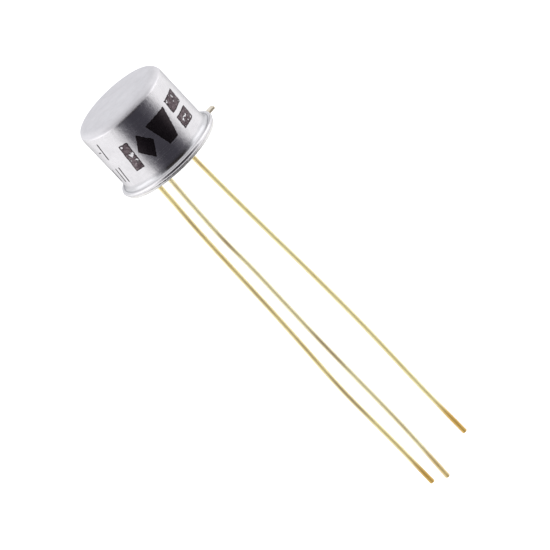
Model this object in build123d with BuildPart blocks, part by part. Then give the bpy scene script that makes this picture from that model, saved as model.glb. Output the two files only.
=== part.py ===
from build123d import *
import math
import os

# A three-lead triac in a TO-5 style welded metal can.
# All sizes are in millimetres. The origin is the centre of the header's
# underside (the seating plane), +Z runs up through the can, and the leads
# run down towards -Z. The leads stand on one circle, a quarter turn apart:
# MT1 at +Y, gate at -X and MT2 at -Y, with the index tab between +X and +Y.
# The tab stands 5 degrees past the nominal 45, and the MT2 lead is welded a
# tenth of a millimetre to one side of its nominal place.

# ---------------------------------------------------------------- dimensions
# outline
can_height = 6.45          # seating plane to the top of the cap
body_d = 8.16              # drawn wall of the cap, outside
cap_flange_d = 9.22        # welding flange of the cap
header_flange_d = 8.94     # rim of the header, a little smaller than the cap's

# cap, drawn from one nickel-plated sheet
cap_wall = 0.25            # wall and top
cap_flange_t = 0.36        # flange, with a fully rounded bead at its edge
bead_groove_angle = 135.0  # where the flare meets the bead, round the bead's centre
shoulder_r = 0.73          # outside radius between wall and top
root_w = 0.31              # flare between wall and flange: how far it spreads
root_h = 0.58              # and how high it climbs
root_inner_w = 0.40        # the same flare on the inside
root_inner_h = 0.62

# header, one gold-plated steel pressing
header_flange_t = 0.22
header_edge_r = 0.05
platform_d = 7.20          # raised platform that stands inside the cap
platform_z = 1.05          # top of the platform
platform_chamfer = 0.12
tab_width = 0.80
tab_reach = 5.42           # outer end of the index tab, from the axis
tab_angle = 50.0
tab_corner_r = 0.12
tab_edge_r = 0.05          # rounded edges of the stamped tab

# leads and seals
pin_circle_r = 2.54
lead_d = 0.43
lead_end_r = 0.08          # rounded edge of each free end
seal_d = 1.40
post_top_z = 1.95          # top of the two insulated posts inside the can
post_head_d = 0.84         # upset head that the bond wire lands on
post_head_t = 0.15
weld_dimple_d = 1.00       # shallow dimple in the underside for the MT2 weld
weld_dimple_t = 0.10
weld_foot_d = 0.80         # flared foot of the butt weld in that dimple
weld_foot_t = 0.13

# chip stack
stack_x, stack_y = 0.35, -0.35
spreader = 3.10
spreader_t = 0.50
spreader_solder_t = 0.05
die = 2.40
die_t = 0.22
die_solder_t = 0.04
die_edge = 0.07            # bevelled edge of the chip, cut back on top
mt1_wire_d = 0.25
gate_wire_d = 0.16

body_r = body_d / 2
flange_r = cap_flange_d / 2
header_r = header_flange_d / 2
lead_r = lead_d / 2

mt1_xy = (0.0, pin_circle_r)
gate_xy = (-pin_circle_r, 0.0)
mt2_xy = (0.12, -pin_circle_r)

# Centre line of each lead below the header: how far it has strayed from
# its own pin position, as (z, dx, dy). The first stretch is straight and
# vertical, and the last is the straight free end.
mt1_line = [
    (-2.20, 0.000, 0.000),
    (-6.50, 0.098, 0.087),
    (-10.50, 0.227, 0.194),
    (-15.50, 0.405, 0.346),
    (-21.00, 0.520, 0.475),
    (-24.90, 0.518, 0.521),
    (-27.80, 0.488, 0.541),
    (-30.40, 0.484, 0.574),
    (-34.64, 0.544, 0.671),
]
gate_line = [
    (-1.90, 0.000, 0.000),
    (-5.90, -0.183, -0.093),
    (-9.50, -0.246, -0.115),
    (-15.00, -0.308, -0.119),
    (-18.80, -0.401, -0.149),
    (-22.80, -0.547, -0.206),
    (-25.40, -0.574, -0.200),
    (-28.40, -0.514, -0.138),
    (-31.00, -0.467, -0.086),
    (-35.51, -0.448, -0.031),
]
mt2_line = [
    (-0.80, 0.000, 0.000),
    (-3.00, -0.121, -0.008),
    (-6.40, -0.190, -0.066),
    (-8.00, -0.179, -0.068),
    (-10.20, -0.102, -0.036),
    (-14.00, -0.106, -0.066),
    (-18.00, -0.111, -0.102),
    (-22.50, -0.045, -0.106),
    (-26.80, 0.039, -0.100),
    (-29.60, 0.048, -0.125),
    (-34.47, -0.040, -0.237),
]


def lead_points(xy, top_z, line):
    """The route's corner points, from the top of the lead to its tip."""
    points = [(xy[0], xy[1], top_z)]
    for z, dx, dy in line:
        points.append((xy[0] + dx, xy[1] + dy, z))
    return points


def bend_radii(points):
    """The largest tangent arc that the two runs beside each corner allow."""
    radii = []
    for a, b, c in zip(points, points[1:], points[2:]):
        run_in = Vector(*b) - Vector(*a)
        run_out = Vector(*c) - Vector(*b)
        half_turn = run_in.get_angle(run_out) / 2
        shorter = min(run_in.length, run_out.length)
        radii.append(0.45 * shorter / math.tan(math.radians(half_turn)))
    return radii


os.makedirs("parts", exist_ok=True)

# ----------------------------------------------------------------------- cap
# One drawn shell, open below: flat top, rounded shoulder, straight wall, and
# a flare that runs down to the rounded bead of the flange.
flange_z0 = header_flange_t
bead_r = cap_flange_t / 2
bead_x = flange_r - bead_r
bead_z = flange_z0 + bead_r
groove_x = bead_x + bead_r * math.cos(math.radians(bead_groove_angle))
groove_z = bead_z + bead_r * math.sin(math.radians(bead_groove_angle))
flare_turn = math.degrees(math.acos(1 - (groove_x - body_r) / root_w))
flare_z = groove_z + root_h * math.sin(math.radians(flare_turn))
inner_r = body_r - cap_wall
shoulder_inner_r = shoulder_r - cap_wall
q = math.sqrt(0.5)

with BuildPart() as cap:
    with BuildSketch(Plane.XZ) as cap_profile:
        with BuildLine() as cap_outline:
            # underside of the flange and its bead
            Line((inner_r + root_inner_w, flange_z0), (bead_x, flange_z0))
            ThreePointArc((bead_x, flange_z0), (flange_r, bead_z), (groove_x, groove_z))
            # flare and wall
            EllipticalCenterArc(
                (body_r + root_w, flare_z),
                root_w,
                root_h,
                start_angle=180,
                arc_size=flare_turn,
            )
            Line((body_r, flare_z), (body_r, can_height - shoulder_r))
            ThreePointArc(
                (body_r, can_height - shoulder_r),
                (body_r - shoulder_r * (1 - q), can_height - shoulder_r * (1 - q)),
                (body_r - shoulder_r, can_height),
            )
            # top, outside and inside
            Line((body_r - shoulder_r, can_height), (0, can_height))
            Line((0, can_height), (0, can_height - cap_wall))
            Line((0, can_height - cap_wall), (body_r - shoulder_r, can_height - cap_wall))
            ThreePointArc(
                (body_r - shoulder_r, can_height - cap_wall),
                (
                    inner_r - shoulder_inner_r * (1 - q),
                    can_height - cap_wall - shoulder_inner_r * (1 - q),
                ),
                (inner_r, can_height - shoulder_r),
            )
            # inside of the wall, turning out to the flange
            Line((inner_r, can_height - shoulder_r), (inner_r, flange_z0 + root_inner_h))
            EllipticalCenterArc(
                (inner_r + root_inner_w, flange_z0 + root_inner_h),
                root_inner_w,
                root_inner_h,
                start_angle=180,
                arc_size=90,
            )
        make_face()
    revolve(axis=Axis.Z)
cap.part.label = "cap"
export_step(cap.part, "parts/cap.step")

# -------------------------------------------------------------------- header
# Rim, raised platform and index tab in one piece, with two holes for the
# glass seals. The MT2 side has no hole, only a shallow dimple in the underside
# that its lead is butt-welded in.
tab_out = (math.cos(math.radians(tab_angle)), math.sin(math.radians(tab_angle)), 0)
tab_across = (-tab_out[1], tab_out[0], 0)

with BuildPart() as tab:
    with BuildSketch(Plane(origin=(0, 0, 0), x_dir=tab_out, z_dir=(0, 0, 1))):
        with Locations(((tab_reach + body_r) / 2, 0)):
            Rectangle(tab_reach - body_r, tab_width)
    extrude(amount=header_flange_t)
    tab_corners = (
        tab.edges()
        .filter_by(Axis.Z)
        .sort_by(lambda e: Vector(e.center().X, e.center().Y).length)[-2:]
    )
    fillet(tab_corners, tab_corner_r)
    # its long edges are rounded as the pressing leaves them
    with BuildSketch(Plane(origin=(0, 0, header_flange_t / 2), x_dir=tab_across, z_dir=tab_out)):
        RectangleRounded(tab_width, header_flange_t, tab_edge_r)
    extrude(amount=tab_reach + 1, mode=Mode.INTERSECT)

with BuildPart() as header:
    with BuildSketch():
        Circle(header_r)
    extrude(amount=header_flange_t)
    fillet(header.edges().filter_by(GeomType.CIRCLE), header_edge_r)

    add(tab.part)

    with BuildSketch(Plane.XY.offset(header_flange_t)):
        Circle(platform_d / 2)
    extrude(amount=platform_z - header_flange_t)
    chamfer(
        header.edges().filter_by(GeomType.CIRCLE).sort_by(Axis.Z)[-1],
        platform_chamfer,
    )

    with BuildSketch(Plane.XY.offset(-1)):
        with Locations(mt1_xy, gate_xy):
            Circle(seal_d / 2)
    extrude(amount=platform_z + 2, mode=Mode.SUBTRACT)
    with BuildSketch():
        with Locations(mt2_xy):
            Circle(weld_dimple_d / 2)
    extrude(amount=weld_dimple_t, mode=Mode.SUBTRACT)
header.part.label = "header"
export_step(header.part, "parts/header.step")

# ---------------------------------------------------------------- glass seals
# A bead fused between the hole and the lead. Both faces are dished, and the
# glass creeps a little way along the wire.
seal_r = seal_d / 2


def seal_section(plane):
    """Half section of a bead, in a plane that holds the lead's axis."""
    with BuildSketch(plane) as section:
        with BuildLine():
            ThreePointArc((lead_r, 0.02), ((lead_r + seal_r) / 2, 0.10), (seal_r, 0.05))
            Line((seal_r, 0.05), (seal_r, platform_z - 0.03))
            ThreePointArc(
                (seal_r, platform_z - 0.03),
                ((lead_r + seal_r) / 2, platform_z - 0.06),
                (lead_r, platform_z + 0.06),
            )
            Line((lead_r, platform_z + 0.06), (lead_r, 0.02))
        make_face()
    return section.sketch


mt1_plane = Plane(origin=(*mt1_xy, 0), x_dir=(1, 0, 0), z_dir=(0, -1, 0))
gate_plane = Plane(origin=(*gate_xy, 0), x_dir=(1, 0, 0), z_dir=(0, -1, 0))

with BuildPart() as mt1_seal:
    add(seal_section(mt1_plane))
    revolve(axis=Axis((*mt1_xy, 0), (0, 0, 1)))
mt1_seal.part.label = "mt1_glass_seal"
export_step(mt1_seal.part, "parts/mt1_glass_seal.step")

with BuildPart() as gate_seal:
    add(seal_section(gate_plane))
    revolve(axis=Axis((*gate_xy, 0), (0, 0, 1)))
gate_seal.part.label = "gate_glass_seal"
export_step(gate_seal.part, "parts/gate_glass_seal.step")

# --------------------------------------------------------------------- leads
# Stiff round wire. The MT1 and gate leads pass through their seals and end
# in an upset head inside the can; the MT2 lead starts at its weld, on the
# floor of the dimple.
mt1_points = lead_points(mt1_xy, post_top_z - post_head_t / 2, mt1_line)
gate_points = lead_points(gate_xy, post_top_z - post_head_t / 2, gate_line)
mt2_points = lead_points(mt2_xy, weld_dimple_t, mt2_line)

with BuildPart() as mt1_lead:
    with BuildLine():
        FilletPolyline(*mt1_points, radius=bend_radii(mt1_points))
    with BuildSketch(Plane(origin=mt1_points[0], z_dir=(0, 0, -1))):
        Circle(lead_r)
    sweep()
    with BuildSketch(Plane.XY.offset(post_top_z - post_head_t)):
        with Locations(mt1_xy):
            Circle(post_head_d / 2)
    extrude(amount=post_head_t)
    chamfer(mt1_lead.edges().sort_by(Axis.Z)[-1], 0.03)
    fillet(mt1_lead.edges().sort_by(Axis.Z)[0], lead_end_r)
mt1_lead.part.label = "mt1_lead"
export_step(mt1_lead.part, "parts/mt1_lead.step")

with BuildPart() as gate_lead:
    with BuildLine():
        FilletPolyline(*gate_points, radius=bend_radii(gate_points))
    with BuildSketch(Plane(origin=gate_points[0], z_dir=(0, 0, -1))):
        Circle(lead_r)
    sweep()
    with BuildSketch(Plane.XY.offset(post_top_z - post_head_t)):
        with Locations(gate_xy):
            Circle(post_head_d / 2)
    extrude(amount=post_head_t)
    chamfer(gate_lead.edges().sort_by(Axis.Z)[-1], 0.03)
    fillet(gate_lead.edges().sort_by(Axis.Z)[0], lead_end_r)
gate_lead.part.label = "gate_lead"
export_step(gate_lead.part, "parts/gate_lead.step")

with BuildPart() as mt2_lead:
    with BuildLine():
        FilletPolyline(*mt2_points, radius=bend_radii(mt2_points))
    with BuildSketch(Plane(origin=mt2_points[0], z_dir=(0, 0, -1))):
        Circle(lead_r)
    sweep()
    # flared foot of the butt weld
    weld_plane = Plane(origin=(*mt2_xy, weld_dimple_t), x_dir=(1, 0, 0), z_dir=(0, -1, 0))
    with BuildSketch(weld_plane):
        with BuildLine():
            Line((0, 0), (weld_foot_d / 2, 0))
            ThreePointArc(
                (weld_foot_d / 2, 0),
                (lead_r + 0.045, -0.055),
                (lead_r - 0.01, -weld_foot_t),
            )
            Line((lead_r - 0.01, -weld_foot_t), (0, -weld_foot_t))
            Line((0, -weld_foot_t), (0, 0))
        make_face()
    revolve(axis=Axis((*mt2_xy, 0), (0, 0, 1)))
    fillet(mt2_lead.edges().sort_by(Axis.Z)[0], lead_end_r)
mt2_lead.part.label = "mt2_lead"
export_step(mt2_lead.part, "parts/mt2_lead.step")

# ---------------------------------------------------------------- chip stack
# Header platform, solder, heat spreader, solder, chip.
z_spreader = platform_z + spreader_solder_t
z_die_solder = z_spreader + spreader_t
z_die = z_die_solder + die_solder_t
die_top = z_die + die_t

with BuildPart() as spreader_solder:
    with BuildSketch(Plane.XY.offset(platform_z)):
        with Locations((stack_x, stack_y)):
            RectangleRounded(spreader + 0.16, spreader + 0.16, 0.25)
    extrude(amount=spreader_solder_t)
spreader_solder.part.label = "spreader_solder"
export_step(spreader_solder.part, "parts/spreader_solder.step")

with BuildPart() as heat_spreader:
    with BuildSketch(Plane.XY.offset(z_spreader)):
        with Locations((stack_x, stack_y)):
            RectangleRounded(spreader, spreader, 0.20)
    extrude(amount=spreader_t)
    chamfer(heat_spreader.faces().sort_by(Axis.Z)[-1].edges(), 0.05)
heat_spreader.part.label = "heat_spreader"
export_step(heat_spreader.part, "parts/heat_spreader.step")

with BuildPart() as die_solder:
    with BuildSketch(Plane.XY.offset(z_die_solder)):
        with Locations((stack_x, stack_y)):
            RectangleRounded(die + 0.10, die + 0.10, 0.12)
    extrude(amount=die_solder_t)
die_solder.part.label = "die_solder"
export_step(die_solder.part, "parts/die_solder.step")

with BuildPart() as triac_die:
    with BuildSketch(Plane.XY.offset(z_die)):
        with Locations((stack_x, stack_y)):
            Rectangle(die, die)
    extrude(amount=die_t)
    chamfer(triac_die.faces().sort_by(Axis.Z)[-1].edges(), die_edge)
triac_die.part.label = "triac_die"
export_step(triac_die.part, "parts/triac_die.step")

# ---------------------------------------------------------------- bond wires
# Each wire leaves a flattened foot on the chip, loops over and comes down
# to a second foot on its post's head.
mt1_pad = (0.45, 0.10)
gate_pad = (-0.50, -0.15)
foot_t = 0.17


def loop_points(pad, post, wire_d, rise):
    """Corner points of the loop, in the upright plane from pad to post."""
    start = Vector(pad[0], pad[1], 0)
    end = Vector(post[0], post[1], 0)
    along = (end - start).normalized()
    span = (end - start).length
    z_pad = die_top + wire_d / 2 + 0.02
    z_post = post_top_z + wire_d / 2 + 0.02
    route = [
        (-0.12, z_pad),
        (0.28, z_pad),
        (0.28 + 0.20 * span, die_top + rise),
        (0.72 * span, die_top + 0.86 * rise),
        (span - 0.16, z_post),
        (span + 0.14, z_post),
    ]
    return [(start + along * s) + Vector(0, 0, z) for s, z in route]


def foot_plane(at, toward, z):
    """Plane of a foot's underside, its x axis along the wire."""
    d = (Vector(toward[0], toward[1], 0) - Vector(at[0], at[1], 0)).normalized()
    return Plane(origin=(at[0], at[1], z), x_dir=(d.X, d.Y, 0), z_dir=(0, 0, 1))


with BuildPart() as mt1_bond_wire:
    route = loop_points(mt1_pad, mt1_xy, mt1_wire_d, 0.95)
    with BuildLine():
        FilletPolyline(*route, radius=0.17)
    with BuildSketch(Plane(origin=route[0], z_dir=route[1] - route[0])):
        Circle(mt1_wire_d / 2)
    sweep()
    for plane in (
        foot_plane(mt1_pad, mt1_xy, die_top),
        foot_plane(mt1_xy, mt1_pad, post_top_z),
    ):
        with BuildSketch(plane):
            RectangleRounded(0.42, 0.34, 0.12)
        extrude(amount=foot_t)
mt1_bond_wire.part.label = "mt1_bond_wire"
export_step(mt1_bond_wire.part, "parts/mt1_bond_wire.step")

with BuildPart() as gate_bond_wire:
    route = loop_points(gate_pad, gate_xy, gate_wire_d, 0.75)
    with BuildLine():
        FilletPolyline(*route, radius=0.13)
    with BuildSketch(Plane(origin=route[0], z_dir=route[1] - route[0])):
        Circle(gate_wire_d / 2)
    sweep()
    for plane in (
        foot_plane(gate_pad, gate_xy, die_top),
        foot_plane(gate_xy, gate_pad, post_top_z),
    ):
        with BuildSketch(plane):
            RectangleRounded(0.36, 0.24, 0.09)
        extrude(amount=0.11)
gate_bond_wire.part.label = "gate_bond_wire"
export_step(gate_bond_wire.part, "parts/gate_bond_wire.step")

# ------------------------------------------------------------------- summary
for name, points in (("mt1", mt1_points), ("gate", gate_points), ("mt2", mt2_points)):
    radii = bend_radii(points)
    tip, before = Vector(*points[-1]), Vector(*points[-2])
    axis = (tip - before).normalized()
    middle = tip - axis * 1.5
    print(name, "smallest bend radius", round(min(radii), 1))
    print(name, "free end middle", [round(v, 4) for v in middle], "axis", [round(v, 5) for v in axis])
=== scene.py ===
import math

import bpy
from mathutils import Matrix, Vector
from mathutils.noise import turbulence


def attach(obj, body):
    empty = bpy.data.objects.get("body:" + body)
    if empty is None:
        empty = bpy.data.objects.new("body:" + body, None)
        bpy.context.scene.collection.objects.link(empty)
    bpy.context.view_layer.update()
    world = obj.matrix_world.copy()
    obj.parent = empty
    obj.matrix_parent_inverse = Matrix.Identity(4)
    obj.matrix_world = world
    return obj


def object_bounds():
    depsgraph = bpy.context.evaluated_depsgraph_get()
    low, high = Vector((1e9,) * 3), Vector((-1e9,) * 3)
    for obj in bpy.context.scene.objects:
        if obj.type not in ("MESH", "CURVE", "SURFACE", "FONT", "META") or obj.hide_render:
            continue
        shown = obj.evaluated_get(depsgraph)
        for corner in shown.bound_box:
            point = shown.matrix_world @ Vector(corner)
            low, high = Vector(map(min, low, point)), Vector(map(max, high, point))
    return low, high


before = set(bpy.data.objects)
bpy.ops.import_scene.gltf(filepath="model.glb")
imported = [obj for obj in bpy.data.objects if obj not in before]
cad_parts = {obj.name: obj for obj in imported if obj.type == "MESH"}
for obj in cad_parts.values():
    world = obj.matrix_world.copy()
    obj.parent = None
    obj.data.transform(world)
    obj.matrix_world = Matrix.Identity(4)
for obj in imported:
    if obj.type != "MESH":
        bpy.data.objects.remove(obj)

CAD_LO, CAD_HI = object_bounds()
MM = 0.001
scene = bpy.context.scene

# ---------------------------------------------------------------- camera
AZ, EL, ROLL = math.radians(31.0), math.radians(18.74), math.radians(43.33)
back = Vector((math.sin(AZ) * math.cos(EL), -math.cos(AZ) * math.cos(EL), math.sin(EL)))
right0 = Vector((math.cos(AZ), math.sin(AZ), 0.0))
up0 = back.cross(right0)
right = math.cos(ROLL) * right0 - math.sin(ROLL) * up0
up = math.sin(ROLL) * right0 + math.cos(ROLL) * up0
DIST = 333.3 * MM
PX_PER_MM = 12.857
cam_data = bpy.data.cameras.new("camera")
cam = bpy.data.objects.new("camera", cam_data)
scene.collection.objects.link(cam)
cam_data.lens = PX_PER_MM * DIST / MM / 550 * 36
cam_data.sensor_width = 36
cam_data.clip_start, cam_data.clip_end = 0.01, 20.0
# where the centre of the header's underside falls in the picture
off_x = (275 - 170.56) / PX_PER_MM * MM
off_y = (275 - 157.33) / PX_PER_MM * MM
cam.location = off_x * right - off_y * up + DIST * back
cam.rotation_mode = "QUATERNION"
cam.rotation_quaternion = Matrix((right, up, back)).transposed().to_quaternion()
scene.camera = cam


# ---------------------------------------------------------------- node helpers
def new_material(name):
    m = bpy.data.materials.new(name)
    m.use_nodes = True
    nt = m.node_tree
    nt.nodes.clear()
    out = nt.nodes.new("ShaderNodeOutputMaterial")
    bsdf = nt.nodes.new("ShaderNodeBsdfPrincipled")
    nt.links.new(bsdf.outputs[0], out.inputs[0])
    return m, nt, bsdf


def put(nt, socket, value):
    if isinstance(value, bpy.types.NodeSocket):
        nt.links.new(value, socket)
    else:
        socket.default_value = value


def math_node(nt, op, a, b=0.0, c=None, clamp=False):
    n = nt.nodes.new("ShaderNodeMath")
    n.operation = op
    n.use_clamp = clamp
    put(nt, n.inputs[0], a)
    put(nt, n.inputs[1], b)
    if c is not None:
        put(nt, n.inputs[2], c)
    return n.outputs[0]


def ramp(nt, fac, stops, interpolation="LINEAR"):
    n = nt.nodes.new("ShaderNodeValToRGB")
    n.color_ramp.interpolation = interpolation
    cr = n.color_ramp
    while len(cr.elements) > 1:
        cr.elements.remove(cr.elements[-1])
    cr.elements[0].position = stops[0][0]
    cr.elements[0].color = (*stops[0][1], 1) if len(stops[0][1]) == 3 else stops[0][1]
    for p, c in stops[1:]:
        e = cr.elements.new(p)
        e.color = (*c, 1) if len(c) == 3 else c
    put(nt, n.inputs[0], fac)
    return n.outputs[0]


def smooth(nt, value, lo, hi, to_lo=0.0, to_hi=1.0):
    n = nt.nodes.new("ShaderNodeMapRange")
    n.interpolation_type = "SMOOTHSTEP"
    put(nt, n.inputs["Value"], value)
    put(nt, n.inputs["From Min"], lo)
    put(nt, n.inputs["From Max"], hi)
    put(nt, n.inputs["To Min"], to_lo)
    put(nt, n.inputs["To Max"], to_hi)
    return n.outputs["Result"]


def mix_color(nt, fac, a, b, mode="MIX"):
    n = nt.nodes.new("ShaderNodeMix")
    n.data_type = "RGBA"
    n.blend_type = mode
    put(nt, n.inputs[0], fac)
    put(nt, n.inputs[6], (*a, 1) if isinstance(a, tuple) and len(a) == 3 else a)
    put(nt, n.inputs[7], (*b, 1) if isinstance(b, tuple) and len(b) == 3 else b)
    return n.outputs[2]


def object_coords(nt):
    return nt.nodes.new("ShaderNodeTexCoord").outputs["Object"]


def mapped(nt, vector, scale=(1, 1, 1), location=(0, 0, 0)):
    n = nt.nodes.new("ShaderNodeMapping")
    put(nt, n.inputs["Vector"], vector)
    n.inputs["Scale"].default_value = scale
    n.inputs["Location"].default_value = location
    return n.outputs["Vector"]


def noise(nt, vector, scale, detail=3.0, rough=0.5, distortion=0.0):
    n = nt.nodes.new("ShaderNodeTexNoise")
    put(nt, n.inputs["Vector"], vector)
    n.inputs["Scale"].default_value = scale
    n.inputs["Detail"].default_value = detail
    n.inputs["Roughness"].default_value = rough
    n.inputs["Distortion"].default_value = distortion
    return n.outputs["Fac"]


def bump(nt, height, strength, distance, normal=None):
    n = nt.nodes.new("ShaderNodeBump")
    n.inputs["Strength"].default_value = strength
    n.inputs["Distance"].default_value = distance
    put(nt, n.inputs["Height"], height)
    if normal is not None:
        put(nt, n.inputs["Normal"], normal)
    return n.outputs["Normal"]


def cylinder_coords(nt):
    """Coordinates that run round the can: (arc length at the wall, radius, height), in metres."""
    sep = nt.nodes.new("ShaderNodeSeparateXYZ")
    put(nt, sep.inputs[0], object_coords(nt))
    x, y, z = sep.outputs
    angle = math_node(nt, "ARCTAN2", y, x)
    arc = math_node(nt, "MULTIPLY", angle, 4.08 * MM)
    r = math_node(nt, "SQRT", math_node(nt, "ADD", math_node(nt, "MULTIPLY", x, x), math_node(nt, "MULTIPLY", y, y)))
    com = nt.nodes.new("ShaderNodeCombineXYZ")
    for i, v in enumerate((arc, r, z)):
        put(nt, com.inputs[i], v)
    return com.outputs[0], arc, r, z


def both(nt, *factors):
    out = factors[0]
    for f in factors[1:]:
        out = math_node(nt, "MULTIPLY", out, f)
    return out


def band(nt, value, lo, hi, soft):
    """1 between lo and hi, falling to 0 over soft on each side."""
    return both(nt, smooth(nt, value, lo - soft, lo + soft), smooth(nt, value, hi - soft, hi + soft, 1.0, 0.0))


# ---------------------------------------------------------------- materials
def nickel():
    """Nickel plate: burnished round the wall, duller on the top, with fine marks round and round, and painted shade
    darkening the foot of the wall, the flare and a line in the crease at the flange.
    """
    m, nt, bsdf = new_material("nickel_plate")
    cyl, arc, r, z = cylinder_coords(nt)
    obj = object_coords(nt)
    cloud = noise(nt, obj, 900, 3, 0.55)
    mottle = noise(nt, obj, 3600, 4, 0.65)
    streak = noise(nt, mapped(nt, cyl, (330, 900, 7500)), 1.0, 4, 0.6)
    line = noise(nt, mapped(nt, cyl, (120, 900, 16000)), 1.0, 2, 0.5)
    bsdf.inputs["Metallic"].default_value = 1.0
    tone = math_node(nt, "ADD", math_node(nt, "MULTIPLY", cloud, 0.50), math_node(nt, "MULTIPLY", streak, 0.22))
    tone = math_node(nt, "ADD", tone, math_node(nt, "MULTIPLY", mottle, 0.28))
    plate = ramp(nt, tone, [(0.3, (0.732, 0.718, 0.737)), (0.5, (0.803, 0.788, 0.807)), (0.7, (0.863, 0.848, 0.867))])
    top = ramp(nt, tone, [(0.3, (0.783, 0.773, 0.797)), (0.5, (0.843, 0.833, 0.858)), (0.7, (0.903, 0.893, 0.918))])
    dull = smooth(nt, z, 5.84 * MM, 6.06 * MM)
    rough = math_node(nt, "ADD", math_node(nt, "MULTIPLY", mottle, 0.20), math_node(nt, "MULTIPLY", streak, 0.06))
    # painted shade: a dark line painted round the crease where the flare meets the flange lip
    painted_crease_shade = both(nt, band(nt, r, 4.26 * MM, 4.35 * MM, 0.02 * MM), band(nt, z, 0.48 * MM, 0.60 * MM, 0.03 * MM))
    # painted shade: the concave flare at the wall's foot is painted a little darker to dim its reflection
    flare_painted_shade = both(nt, smooth(nt, r, 4.12 * MM, 4.26 * MM), smooth(nt, r, 4.33 * MM, 4.37 * MM, 1.0, 0.0))
    plate = mix_color(nt, math_node(nt, "MULTIPLY", flare_painted_shade, 0.20), plate, (0.55, 0.55, 0.57))
    # painted shade: the lowest millimetre of the wall and the flare are painted darker, a painted contact shadow
    # against the flange
    foot_painted_shade = both(nt, smooth(nt, z, 0.82 * MM, 1.12 * MM, 1.0, 0.0), smooth(nt, r, 4.30 * MM, 4.34 * MM, 1.0, 0.0))
    plate = mix_color(nt, math_node(nt, "MULTIPLY", foot_painted_shade, 0.80), plate, (0.60, 0.60, 0.62))
    plate = mix_color(nt, math_node(nt, "MULTIPLY", painted_crease_shade, 0.68), plate, (0.42, 0.42, 0.44))
    put(nt, bsdf.inputs["Base Color"], mix_color(nt, dull, plate, top))
    scuff = smooth(nt, line, 0.60, 0.72, 0.0, 0.09)
    rough = math_node(nt, "ADD", math_node(nt, "ADD", rough, scuff), 0.08)
    put(nt, bsdf.inputs["Roughness"], math_node(nt, "ADD", rough, math_node(nt, "MULTIPLY", dull, 0.44)))
    n1 = bump(nt, streak, 0.08, 0.00002, bump(nt, cloud, 0.6, 0.00004))
    put(nt, bsdf.inputs["Normal"], bump(nt, mottle, 0.20, 0.00002, n1))
    return m


def gold_header():
    """Gold plate on the tab and the underside, rubbed to a paler metal round the welded rim, with painted shade along
    the rim's lower edge.
    """
    m, nt, bsdf = new_material("header_gold")
    cyl, arc, r, z = cylinder_coords(nt)
    obj = object_coords(nt)
    patch = noise(nt, obj, 1300, 4, 0.6)
    fine = noise(nt, obj, 9000, 3, 0.6)
    rim = both(nt, smooth(nt, r, 4.34 * MM, 4.42 * MM), smooth(nt, r, 4.50 * MM, 4.56 * MM, 1.0, 0.0))
    # painted shade: the lowest edge of the rim is painted darker, a painted outline of shade
    low = smooth(nt, z, 0.035 * MM, 0.075 * MM, 1.0, 0.0)
    gold_colour = ramp(nt, patch, [(0.35, (0.90, 0.79, 0.61)), (0.62, (1.0, 0.93, 0.79))])
    rim_colour = ramp(nt, patch, [(0.35, (0.86, 0.84, 0.81)), (0.62, (0.97, 0.96, 0.95))])
    rim_colour = mix_color(nt, math_node(nt, "MULTIPLY", low, 0.5), rim_colour, (0.50, 0.49, 0.48))
    put(nt, bsdf.inputs["Metallic"], math_node(nt, "ADD", math_node(nt, "MULTIPLY", rim, 0.22), 0.76))
    put(nt, bsdf.inputs["Base Color"], mix_color(nt, rim, gold_colour, rim_colour))
    rough = math_node(nt, "ADD", math_node(nt, "MULTIPLY", fine, 0.16), 0.16)
    put(nt, bsdf.inputs["Roughness"], math_node(nt, "ADD", rough, math_node(nt, "MULTIPLY", rim, 0.26)))
    put(nt, bsdf.inputs["Normal"], bump(nt, fine, 0.15, 0.00001))
    return m


def gold_lead(name, core_stops, edge, stains, end_z, end_amount):
    """Pale thin gold on wire: browner in patches, with a painted sheen of the paler edge colour where the wire turns
    away from view, and a deeper gold at the cut ends.
    """
    m, nt, bsdf = new_material(name)
    cyl, arc, r, z = cylinder_coords(nt)
    obj = object_coords(nt)
    patch = noise(nt, mapped(nt, obj, (1, 1, 0.55)), 420, 3, 0.55)
    fine = noise(nt, mapped(nt, obj, (1, 1, 0.12)), 9000, 3, 0.6)
    # painted sheen: where the wire turns away from view it takes the paler edge colour, a painted reflection
    lw = nt.nodes.new("ShaderNodeLayerWeight")
    lw.inputs["Blend"].default_value = 0.5
    facing = lw.outputs["Facing"]
    core = ramp(nt, patch, core_stops)
    for lo, hi, amount in stains:
        stain = math_node(nt, "MULTIPLY", band(nt, z, lo * MM, hi * MM, 1.2 * MM), amount)
        core = mix_color(nt, stain, core, (0.56, 0.42, 0.24))
    shaft_and_painted_sheen = mix_color(nt, smooth(nt, facing, 0.06, 0.40), core, edge)
    end = ramp(nt, patch, [(0.35, (0.70, 0.43, 0.10)), (0.62, (0.88, 0.61, 0.20))])
    colour = mix_color(nt, smooth(nt, z, (end_z - 0.9) * MM, (end_z + 1.6) * MM, end_amount, 0.0), shaft_and_painted_sheen, end)
    bsdf.inputs["Metallic"].default_value = 0.50
    put(nt, bsdf.inputs["Base Color"], colour)
    put(nt, bsdf.inputs["Roughness"], math_node(nt, "ADD", math_node(nt, "MULTIPLY", fine, 0.2), 0.32))
    put(nt, bsdf.inputs["Normal"], bump(nt, fine, 0.15, 0.00001))
    return m


def glass():
    m, nt, bsdf = new_material("seal_glass")
    obj = object_coords(nt)
    cloud = noise(nt, obj, 2500, 3, 0.5)
    put(nt, bsdf.inputs["Base Color"], ramp(nt, cloud, [(0.35, (0.012, 0.030, 0.028)), (0.7, (0.035, 0.070, 0.062))]))
    bsdf.inputs["Roughness"].default_value = 0.08
    bsdf.inputs["IOR"].default_value = 1.52
    put(nt, bsdf.inputs["Normal"], bump(nt, cloud, 0.2, 0.00003))
    return m


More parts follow.
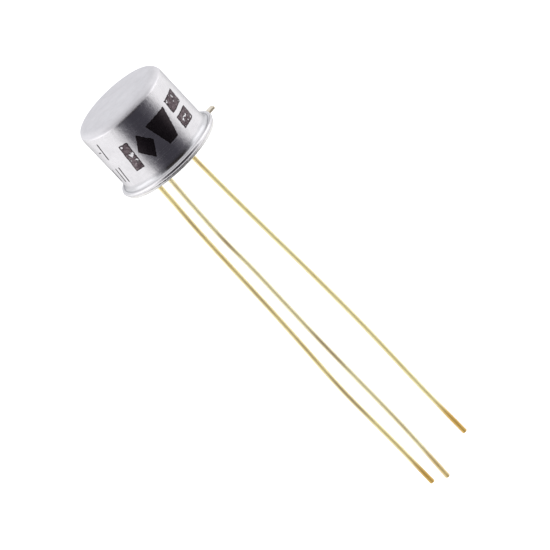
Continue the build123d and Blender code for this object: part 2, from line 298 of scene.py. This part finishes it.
def plain_metal(name, lo, hi, rough, scale=3000, metallic=1.0):
    m, nt, bsdf = new_material(name)
    obj = object_coords(nt)
    cloud = noise(nt, obj, scale, 4, 0.6)
    bsdf.inputs["Metallic"].default_value = metallic
    put(nt, bsdf.inputs["Base Color"], ramp(nt, cloud, [(0.35, lo), (0.65, hi)]))
    put(nt, bsdf.inputs["Roughness"], math_node(nt, "ADD", math_node(nt, "MULTIPLY", cloud, 0.2), rough))
    put(nt, bsdf.inputs["Normal"], bump(nt, cloud, 0.2, 0.00001))
    return m


def ink():
    """A thin film of black printing ink: the metal's shine comes through it, and towards both sides of the print the
    film is painted lighter, a painted reflection of the bright surroundings.
    """
    m, nt, bsdf = new_material("black_ink")
    obj = object_coords(nt)
    speck = noise(nt, obj, 7000, 4, 0.7)
    sheen_and_wear = noise(nt, obj, 1500, 3, 0.6)
    edge = nt.nodes.new("ShaderNodeAttribute")
    edge.attribute_name = "inside"
    inner = smooth(nt, edge.outputs["Fac"], 0.03, 0.11)
    amount = math_node(nt, "ADD", math_node(nt, "MULTIPLY", speck, 0.62), math_node(nt, "MULTIPLY", sheen_and_wear, 0.38))
    # painted reflection: towards both sides of the print the ink is painted lighter
    painted_side_sheen = nt.nodes.new("ShaderNodeAttribute")
    painted_side_sheen.attribute_name = "painted_side_sheen"
    solid = ramp(nt, amount, [(0.40, (0.050, 0.040, 0.045)), (0.64, (0.085, 0.070, 0.076))])
    film = ramp(nt, amount, [(0.38, (0.050, 0.036, 0.042)), (0.50, (0.115, 0.088, 0.098)), (0.60, (0.24, 0.20, 0.21)), (0.68, (0.42, 0.38, 0.39))])
    film = mix_color(nt, painted_side_sheen.outputs["Fac"], solid, film)
    bsdf.inputs["Metallic"].default_value = 0.95
    put(nt, bsdf.inputs["Base Color"], mix_color(nt, inner, (0.035, 0.027, 0.030), film))
    put(nt, bsdf.inputs["Roughness"], math_node(nt, "ADD", math_node(nt, "MULTIPLY", speck, 0.12), 0.10))
    put(nt, bsdf.inputs["Normal"], bump(nt, speck, 0.35, 0.00001))
    return m


mats = {
    "cap": nickel(),
    "header": gold_header(),
    # the single colour after each lead's ramp is the paler painted sheen at its outline
    "mt1_lead": gold_lead(
        "lead_gold_mt1",
        [(0.33, (0.84, 0.66, 0.32)), (0.44, (0.97, 0.83, 0.40)), (0.66, (1.0, 0.90, 0.48))],
        (1.0, 0.93, 0.61), [], -32.0, 1.0),
    "gate_lead": gold_lead(
        "lead_gold_gate",
        [(0.33, (0.74, 0.57, 0.26)), (0.44, (0.90, 0.74, 0.34)), (0.66, (0.96, 0.84, 0.42))],
        (1.0, 0.91, 0.56),
        [(-6.5, -4.2, 0.40), (-15.3, -11.8, 0.52), (-21.6, -16.6, 0.24), (-27.5, -22.8, 0.76)], -33.8, 1.0),
    "mt2_lead": gold_lead(
        "lead_gold_mt2",
        [(0.33, (0.84, 0.70, 0.40)), (0.44, (0.95, 0.84, 0.48)), (0.66, (1.0, 0.92, 0.56))],
        (1.0, 0.95, 0.70),
        [(-8.3, -6.7, 1.0), (-21.6, -17.5, 0.80)], -32.2, 0.55),
    "glass": glass(),
    "ink": ink(),
    "copper": plain_metal("bare_copper", (0.62, 0.30, 0.18), (0.80, 0.46, 0.32), 0.2),
    "solder": plain_metal("soft_solder", (0.42, 0.42, 0.41), (0.62, 0.62, 0.60), 0.35),
    "silicon": plain_metal("silicon_chip", (0.14, 0.15, 0.19), (0.24, 0.25, 0.30), 0.12),
    "wire": plain_metal("aluminium_wire", (0.78, 0.78, 0.78), (0.90, 0.90, 0.90), 0.2),
}
for name, which in {
    "cap": "cap", "header": "header", "mt1_glass_seal": "glass", "gate_glass_seal": "glass",
    "mt1_lead": "mt1_lead", "gate_lead": "gate_lead", "mt2_lead": "mt2_lead", "spreader_solder": "solder",
    "heat_spreader": "copper", "die_solder": "solder", "triac_die": "silicon",
    "mt1_bond_wire": "wire", "gate_bond_wire": "wire",
}.items():
    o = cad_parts[name]
    for s in o.material_slots:
        s.material = mats[which]


# ---------------------------------------------------------------- printed marks
# Two rows of plain marks on the wall, as thin films of ink with ragged edges.
# A mark is given by a function of (round, up) in millimetres: the arc length from
# the side that faces the camera, and the height. It is positive inside the mark.
WALL_R = 4.08
FILM = 0.006


def convex(*points):
    """Signed distance to a convex outline whose corners run clockwise."""
    edges = []
    for (x0, y0), (x1, y1) in zip(points, points[1:] + points[:1]):
        length = math.hypot(x1 - x0, y1 - y0)
        edges.append((x0, y0, (y1 - y0) / length, -(x1 - x0) / length))

    def f(x, y):
        return min((x - x0) * nx + (y - y0) * ny for x0, y0, nx, ny in edges)

    return f


def stroke(x0, y0, x1, y1, width):
    def f(x, y):
        dx_, dy_ = x1 - x0, y1 - y0
        t = max(0.0, min(1.0, ((x - x0) * dx_ + (y - y0) * dy_) / (dx_ * dx_ + dy_ * dy_)))
        return width / 2 - math.hypot(x - x0 - t * dx_, y - y0 - t * dy_)

    return f


def sheen_and_wear(x):
    """Where the ink is pitted and painted lighter, a painted reflection: solid on the side that faces out, lighter
    and pitted towards both ends.
    """
    return 1.0 if x < -1.68 or x > 2.45 else 0.0


def film_piece(name, shapes, x_range, z_range, cell, ragged, pits):
    """The marks' outlines, cut on a grid and laid on the wall as one mesh with a thickness."""
    nx = int(round((x_range[1] - x_range[0]) / cell))
    nz = int(round((z_range[1] - z_range[0]) / cell))
    value = {}
    for i in range(nx + 1):
        x = x_range[0] + i * cell
        for j in range(nz + 1):
            z = z_range[0] + j * cell
            f = max(s(x, z) for s in shapes)
            if f > -3 * cell:
                f += ragged * turbulence(Vector((x * 5.0, z * 5.0, 3.1)), 3, False)
                if pits > 0 and f > 0.10 and sheen_and_wear(x) > 0.5:
                    hole = turbulence(Vector((x * 3.1, z * 3.1, 9.7)), 3, False)
                    f = min(f, (pits - hole) * 0.5)
            value[i, j] = f
    verts, faces, inside, painted_side_sheen = [], [], [], []
    index = {}

    def point(x, z, f, out):
        key = (round(x, 6), round(z, 6), out)
        if key not in index:
            a = x / WALL_R
            r = (WALL_R + (FILM if out else -0.001)) * MM
            verts.append((
                r * (math.sin(AZ) * math.cos(a) + math.cos(AZ) * math.sin(a)),
                r * (-math.cos(AZ) * math.cos(a) + math.sin(AZ) * math.sin(a)),
                z * MM,
            ))
            inside.append(max(0.0, f))
            painted_side_sheen.append(sheen_and_wear(x))
            index[key] = len(verts) - 1
        return index[key]

    for i in range(nx):
        for j in range(nz):
            ring = [(i, j), (i + 1, j), (i + 1, j + 1), (i, j + 1)]
            if all(value[c] <= 0 for c in ring):
                continue
            poly, cut = [], []
            for k in range(4):
                c0, c1 = ring[k], ring[(k + 1) % 4]
                f0, f1 = value[c0], value[c1]
                p0 = (x_range[0] + c0[0] * cell, z_range[0] + c0[1] * cell)
                p1 = (x_range[0] + c1[0] * cell, z_range[0] + c1[1] * cell)
                if f0 > 0:
                    poly.append((p0[0], p0[1], f0, False))
                if (f0 > 0) != (f1 > 0):
                    t = f0 / (f0 - f1)
                    poly.append((p0[0] + t * (p1[0] - p0[0]), p0[1] + t * (p1[1] - p0[1]), 0.0, True))
            top = [point(x, z, f, True) for x, z, f, _ in poly]
            if len(set(top)) >= 3:
                faces.append(top)
            for k in range(len(poly)):
                a, b = poly[k], poly[(k + 1) % len(poly)]
                if a[3] and b[3] and top[k] != top[(k + 1) % len(poly)]:
                    low_b, low_a = point(b[0], b[1], 0.0, False), point(a[0], a[1], 0.0, False)
                    faces.append([top[(k + 1) % len(poly)], top[k], low_a, low_b])
    mesh = bpy.data.meshes.new(name)
    mesh.from_pydata(verts, [], faces)
    attribute = mesh.attributes.new("inside", "FLOAT", "POINT")
    attribute.data.foreach_set("value", inside)
    attribute = mesh.attributes.new("painted_side_sheen", "FLOAT", "POINT")
    attribute.data.foreach_set("value", painted_side_sheen)
    mesh.polygons.foreach_set("use_smooth", [True] * len(mesh.polygons))
    mesh.materials.append(mats["ink"])
    mesh.validate()
    piece = bpy.data.objects.new(name, mesh)
    scene.collection.objects.link(piece)
    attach(piece, "root")
    return piece


blocks = [
    convex((-2.85, 1.98), (-2.56, 4.44), (-1.74, 4.40), (-1.98, 1.98)),
    convex((-1.60, 3.16), (-0.82, 4.40), (0.02, 3.22), (-0.74, 1.96)),
    convex((0.16, 4.40), (2.36, 4.42), (1.66, 2.00), (0.72, 2.00)),
    convex((2.52, 1.86), (2.62, 2.96), (4.20, 3.02), (4.02, 1.86)),
    convex((2.66, 3.36), (2.78, 4.58), (4.42, 4.66), (4.26, 3.44)),
]
film_piece("print_blocks", blocks, (-3.1, 4.7), (1.7, 4.9), 0.04, 0.045, 0.36)

ticks = [
    stroke(-4.44, 3.86, -4.14, 5.40, 0.11),
    stroke(-4.86, 4.60, -4.64, 4.60, 0.11),
    stroke(-4.42, 1.46, -4.16, 2.86, 0.11),
    stroke(-4.92, 1.50, -4.66, 2.84, 0.11),
    stroke(-5.74, 1.52, -5.50, 2.70, 0.11),
]
film_piece("print_ticks", ticks, (-6.1, -3.9), (1.2, 5.7), 0.04, 0.012, 0.0)

# ---------------------------------------------------------------- floor and light
floor_mesh = bpy.data.meshes.new("floor")
F = 3.0
floor_mesh.from_pydata([(-F, -F, 0), (F, -F, 0), (F, F, 0), (-F, F, 0)], [], [(0, 1, 2, 3)])
floor = bpy.data.objects.new("floor", floor_mesh)
floor.location.z = CAD_LO.z - 60 * MM
scene.collection.objects.link(floor)
fm, fnt, fb = new_material("floor_white")
fb.inputs["Base Color"].default_value = (0.9, 0.9, 0.9, 1)
fb.inputs["Roughness"].default_value = 0.9
fb.inputs["Emission Color"].default_value = (1, 1, 1, 1)
fb.inputs["Emission Strength"].default_value = 0.6
floor_mesh.materials.append(fm)
floor.visible_glossy = False

world = bpy.data.worlds.new("world")
scene.world = world
world.use_nodes = True
wn = world.node_tree
wn.nodes.clear()
wout = wn.nodes.new("ShaderNodeOutputWorld")
tc = wn.nodes.new("ShaderNodeTexCoord")
sep = wn.nodes.new("ShaderNodeSeparateXYZ")
wn.links.new(tc.outputs["Generated"], sep.inputs[0])
dx, dy, dz = sep.outputs
horiz = math_node(wn, "SQRT", math_node(wn, "ADD", math_node(wn, "MULTIPLY", dx, dx), math_node(wn, "MULTIPLY", dy, dy)))
# azimuth from the camera's side, 0 towards the camera and 180 away from it
bh = Vector((math.sin(AZ), -math.cos(AZ)))
rh = Vector((math.cos(AZ), math.sin(AZ)))
fwd = math_node(wn, "ADD", math_node(wn, "MULTIPLY", dx, bh.x), math_node(wn, "MULTIPLY", dy, bh.y))
side = math_node(wn, "ADD", math_node(wn, "MULTIPLY", dx, rh.x), math_node(wn, "MULTIPLY", dy, rh.y))
deg = math_node(wn, "MULTIPLY", math_node(wn, "ARCTAN2", side, fwd), 180 / math.pi)
eld = math_node(wn, "MULTIPLY", math_node(wn, "ARCTAN2", dz, horiz), 180 / math.pi)
adeg = math_node(wn, "ABSOLUTE", deg)


# white tent, a little greyer overhead and behind the object
env = mix_color(wn, smooth(wn, eld, 30.0, 80.0), (1.04, 1.04, 1.05), (0.73, 0.73, 0.745))
back_low = both(wn, smooth(wn, adeg, 128.0, 160.0), smooth(wn, eld, 0.0, 12.0))
env = mix_color(wn, back_low, env, (0.79, 0.80, 0.825))
back_right = both(wn, smooth(wn, deg, 120.0, 150.0), smooth(wn, deg, 160.0, 175.0, 1.0, 0.0), smooth(wn, eld, 10.0, 24.0), smooth(wn, eld, 40.0, 60.0, 1.0, 0.0))
env = mix_color(wn, back_right, env, (0.50, 0.50, 0.51))
back_floor = both(wn, smooth(wn, adeg, 125.0, 165.0), smooth(wn, eld, -8.0, 4.0, 1.0, 0.0))
env = mix_color(wn, back_floor, env, (0.66, 0.66, 0.67))
# brighter strip light along each side
strip = both(wn, smooth(wn, adeg, 52.0, 72.0), smooth(wn, adeg, 118.0, 150.0, 1.0, 0.0), smooth(wn, eld, 6.0, 24.0), smooth(wn, eld, 46.0, 74.0, 1.0, 0.0))
env = mix_color(wn, strip, env, (1.20, 1.20, 1.21))
lamp = both(wn, smooth(wn, adeg, 50.0, 70.0), smooth(wn, adeg, 104.0, 124.0, 1.0, 0.0), smooth(wn, eld, 0.0, 10.0), smooth(wn, eld, 22.0, 34.0, 1.0, 0.0))
env = mix_color(wn, lamp, env, (1.56, 1.56, 1.57))
# the dark opening that the camera looks through
upper = both(wn, smooth(wn, eld, 39.0, 60.0, 1.0, 0.0), smooth(wn, eld, -76.0, -40.0))
dark = both(wn, smooth(wn, deg, -66.0, -28.0), smooth(wn, deg, 38.0, 76.0, 1.0, 0.0), upper)
env = mix_color(wn, dark, env, (0.155, 0.150, 0.170))
core = both(wn, smooth(wn, deg, -46.0, -6.0), smooth(wn, deg, 18.0, 54.0, 1.0, 0.0), upper)
env = mix_color(wn, core, env, (0.050, 0.048, 0.060))
brown = both(wn, smooth(wn, deg, -40.0, -14.0), smooth(wn, deg, 22.0, 52.0, 1.0, 0.0), smooth(wn, eld, 4.0, 22.0), smooth(wn, eld, 39.0, 60.0, 1.0, 0.0))
env = mix_color(wn, brown, env, (0.030, 0.024, 0.022))
bg_env = wn.nodes.new("ShaderNodeBackground")
wn.links.new(env, bg_env.inputs[0])
bg_env.inputs[1].default_value = 1.0
bg_white = wn.nodes.new("ShaderNodeBackground")
bg_white.inputs[0].default_value = (1, 1, 1, 1)
bg_white.inputs[1].default_value = 1.0
lp = wn.nodes.new("ShaderNodeLightPath")
wmix = wn.nodes.new("ShaderNodeMixShader")
wn.links.new(lp.outputs["Is Camera Ray"], wmix.inputs[0])
wn.links.new(bg_env.outputs[0], wmix.inputs[1])
wn.links.new(bg_white.outputs[0], wmix.inputs[2])
wn.links.new(wmix.outputs[0], wout.inputs[0])

scene.view_settings.view_transform = "Standard"
scene.view_settings.look = "None"
